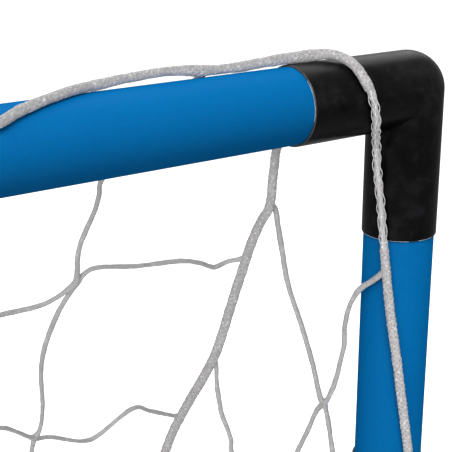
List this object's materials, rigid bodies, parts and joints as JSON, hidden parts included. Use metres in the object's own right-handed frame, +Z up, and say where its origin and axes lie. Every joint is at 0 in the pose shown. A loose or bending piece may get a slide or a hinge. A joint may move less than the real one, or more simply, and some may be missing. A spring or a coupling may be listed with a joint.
{
  "type": "folding lawn goal",
  "caption": "Lawn goal of round steel tube with moulded corners, a strapped-on net, and a front frame that folds flat onto its ground frame.",
  "frame": {"origin": "on the ground under the middle of the crossbar, midway between the front of the uprights' straps and the back of the rear bar's straps (bounding-box bottom centre); the goal line is at y = -0.297 m", "axes": "+X along the crossbar towards the corner seen in the source view, +Y from the mouth into the goal, +Z up"},
  "size_m": [1.8452, 0.6374, 1.2254],
  "materials": {
    "tube": "satin blue powder coat",
    "moulded": "matte black moulding",
    "steel": "zinc plated",
    "accent": "satin",
    "strap": "woven hook-and-loop tape",
    "cord": "braided",
    "net": "knotless twine"
  },
  "bodies": {
    "ground_frame": {"hinge_base_right": "moulded", "hinge_base_left": "moulded", "pivot_pin_right": "steel", "pivot_pin_left": "steel", "side_rail_right": "tube", "side_rail_left": "tube", "rear_corner_right": "moulded", "rear_corner_left": "moulded", "rear_bar_right": "tube", "rear_bar_left": "tube", "rear_bar_sleeve": "steel", "strap_rail_right": "strap", "strap_rail_left": "strap", "strap_rear_right": "strap", "strap_rear_left": "strap", "bottom_cord": "cord", "seam_rope_right": "cord", "seam_rope_left": "cord", "net_back": "net", "net_side_right": "net", "net_side_left": "net"},
    "front_frame": {"crossbar_right": "tube", "crossbar_left": "tube", "crossbar_sleeve": "steel", "top_corner_right": "moulded", "top_corner_left": "moulded", "upright_right": "tube", "upright_left": "tube", "knuckle_right": "moulded", "knuckle_left": "moulded", "border_cord": "cord", "strap_upright_upper_right": "strap", "strap_upright_upper_left": "strap", "strap_upright_middle_right": "strap", "strap_upright_middle_left": "strap", "strap_upright_lower_right": "strap", "strap_upright_lower_left": "strap", "strap_crossbar_outer_right": "strap", "strap_crossbar_outer_left": "strap", "strap_crossbar_inner_right": "strap", "strap_crossbar_inner_left": "strap"},
    "crossbar_sleeve_button_right": {"crossbar_sleeve_button_right": "steel"},
    "crossbar_button_right": {"crossbar_button_right": "steel"},
    "upright_button_right": {"upright_button_right": "steel"},
    "rear_bar_sleeve_button_right": {"rear_bar_sleeve_button_right": "steel"},
    "rear_bar_button_right": {"rear_bar_button_right": "steel"},
    "side_rail_button_right": {"side_rail_button_right": "steel"},
    "fold_lock_button_right": {"fold_lock_button_right": "accent"},
    "crossbar_sleeve_button_left": {"crossbar_sleeve_button_left": "steel"},
    "crossbar_button_left": {"crossbar_button_left": "steel"},
    "upright_button_left": {"upright_button_left": "steel"},
    "rear_bar_sleeve_button_left": {"rear_bar_sleeve_button_left": "steel"},
    "rear_bar_button_left": {"rear_bar_button_left": "steel"},
    "side_rail_button_left": {"side_rail_button_left": "steel"},
    "fold_lock_button_left": {"fold_lock_button_left": "accent"}
  },
  "joints": [
    {"name": "fold", "type": "hinge", "parent": "ground_frame", "child": "front_frame", "pos_m": [0, -0.288, 0.045], "axis": [-1, 0, 0], "range_deg": [0, 90]},
    {"name": "crossbar_sleeve_button_right_press", "type": "slide", "parent": "front_frame", "child": "crossbar_sleeve_button_right", "axis": [0, -1, 0], "range_m": [0, 0.0032], "stiffness_N_per_m": 150},
    {"name": "crossbar_button_right_press", "type": "slide", "parent": "front_frame", "child": "crossbar_button_right", "axis": [0, -1, 0], "range_m": [0, 0.0032], "stiffness_N_per_m": 150},
    {"name": "upright_button_right_press", "type": "slide", "parent": "front_frame", "child": "upright_button_right", "axis": [0, -1, 0], "range_m": [0, 0.0032], "stiffness_N_per_m": 150},
    {"name": "rear_bar_sleeve_button_right_press", "type": "slide", "parent": "ground_frame", "child": "rear_bar_sleeve_button_right", "axis": [0, 1, 0], "range_m": [0, 0.0032], "stiffness_N_per_m": 150},
    {"name": "rear_bar_button_right_press", "type": "slide", "parent": "ground_frame", "child": "rear_bar_button_right", "axis": [0, 1, 0], "range_m": [0, 0.0032], "stiffness_N_per_m": 150},
    {"name": "side_rail_button_right_press", "type": "slide", "parent": "ground_frame", "child": "side_rail_button_right", "axis": [1, 0, 0], "range_m": [0, 0.0032], "stiffness_N_per_m": 150},
    {"name": "fold_lock_button_right_press", "type": "slide", "parent": "ground_frame", "child": "fold_lock_button_right", "axis": [-1, 0, 0], "range_m": [0, 0.0033], "stiffness_N_per_m": 150},
    {"name": "crossbar_sleeve_button_left_press", "type": "slide", "parent": "front_frame", "child": "crossbar_sleeve_button_left", "axis": [0, -1, 0], "range_m": [0, 0.0032], "stiffness_N_per_m": 150},
    {"name": "crossbar_button_left_press", "type": "slide", "parent": "front_frame", "child": "crossbar_button_left", "axis": [0, -1, 0], "range_m": [0, 0.0032], "stiffness_N_per_m": 150},
    {"name": "upright_button_left_press", "type": "slide", "parent": "front_frame", "child": "upright_button_left", "axis": [0, -1, 0], "range_m": [0, 0.0032], "stiffness_N_per_m": 150},
    {"name": "rear_bar_sleeve_button_left_press", "type": "slide", "parent": "ground_frame", "child": "rear_bar_sleeve_button_left", "axis": [0, 1, 0], "range_m": [0, 0.0032], "stiffness_N_per_m": 150},
    {"name": "rear_bar_button_left_press", "type": "slide", "parent": "ground_frame", "child": "rear_bar_button_left", "axis": [0, 1, 0], "range_m": [0, 0.0032], "stiffness_N_per_m": 150},
    {"name": "side_rail_button_left_press", "type": "slide", "parent": "ground_frame", "child": "side_rail_button_left", "axis": [-1, 0, 0], "range_m": [0, 0.0032], "stiffness_N_per_m": 150},
    {"name": "fold_lock_button_left_press", "type": "slide", "parent": "ground_frame", "child": "fold_lock_button_left", "axis": [1, 0, 0], "range_m": [0, 0.0033], "stiffness_N_per_m": 150}
  ]
}
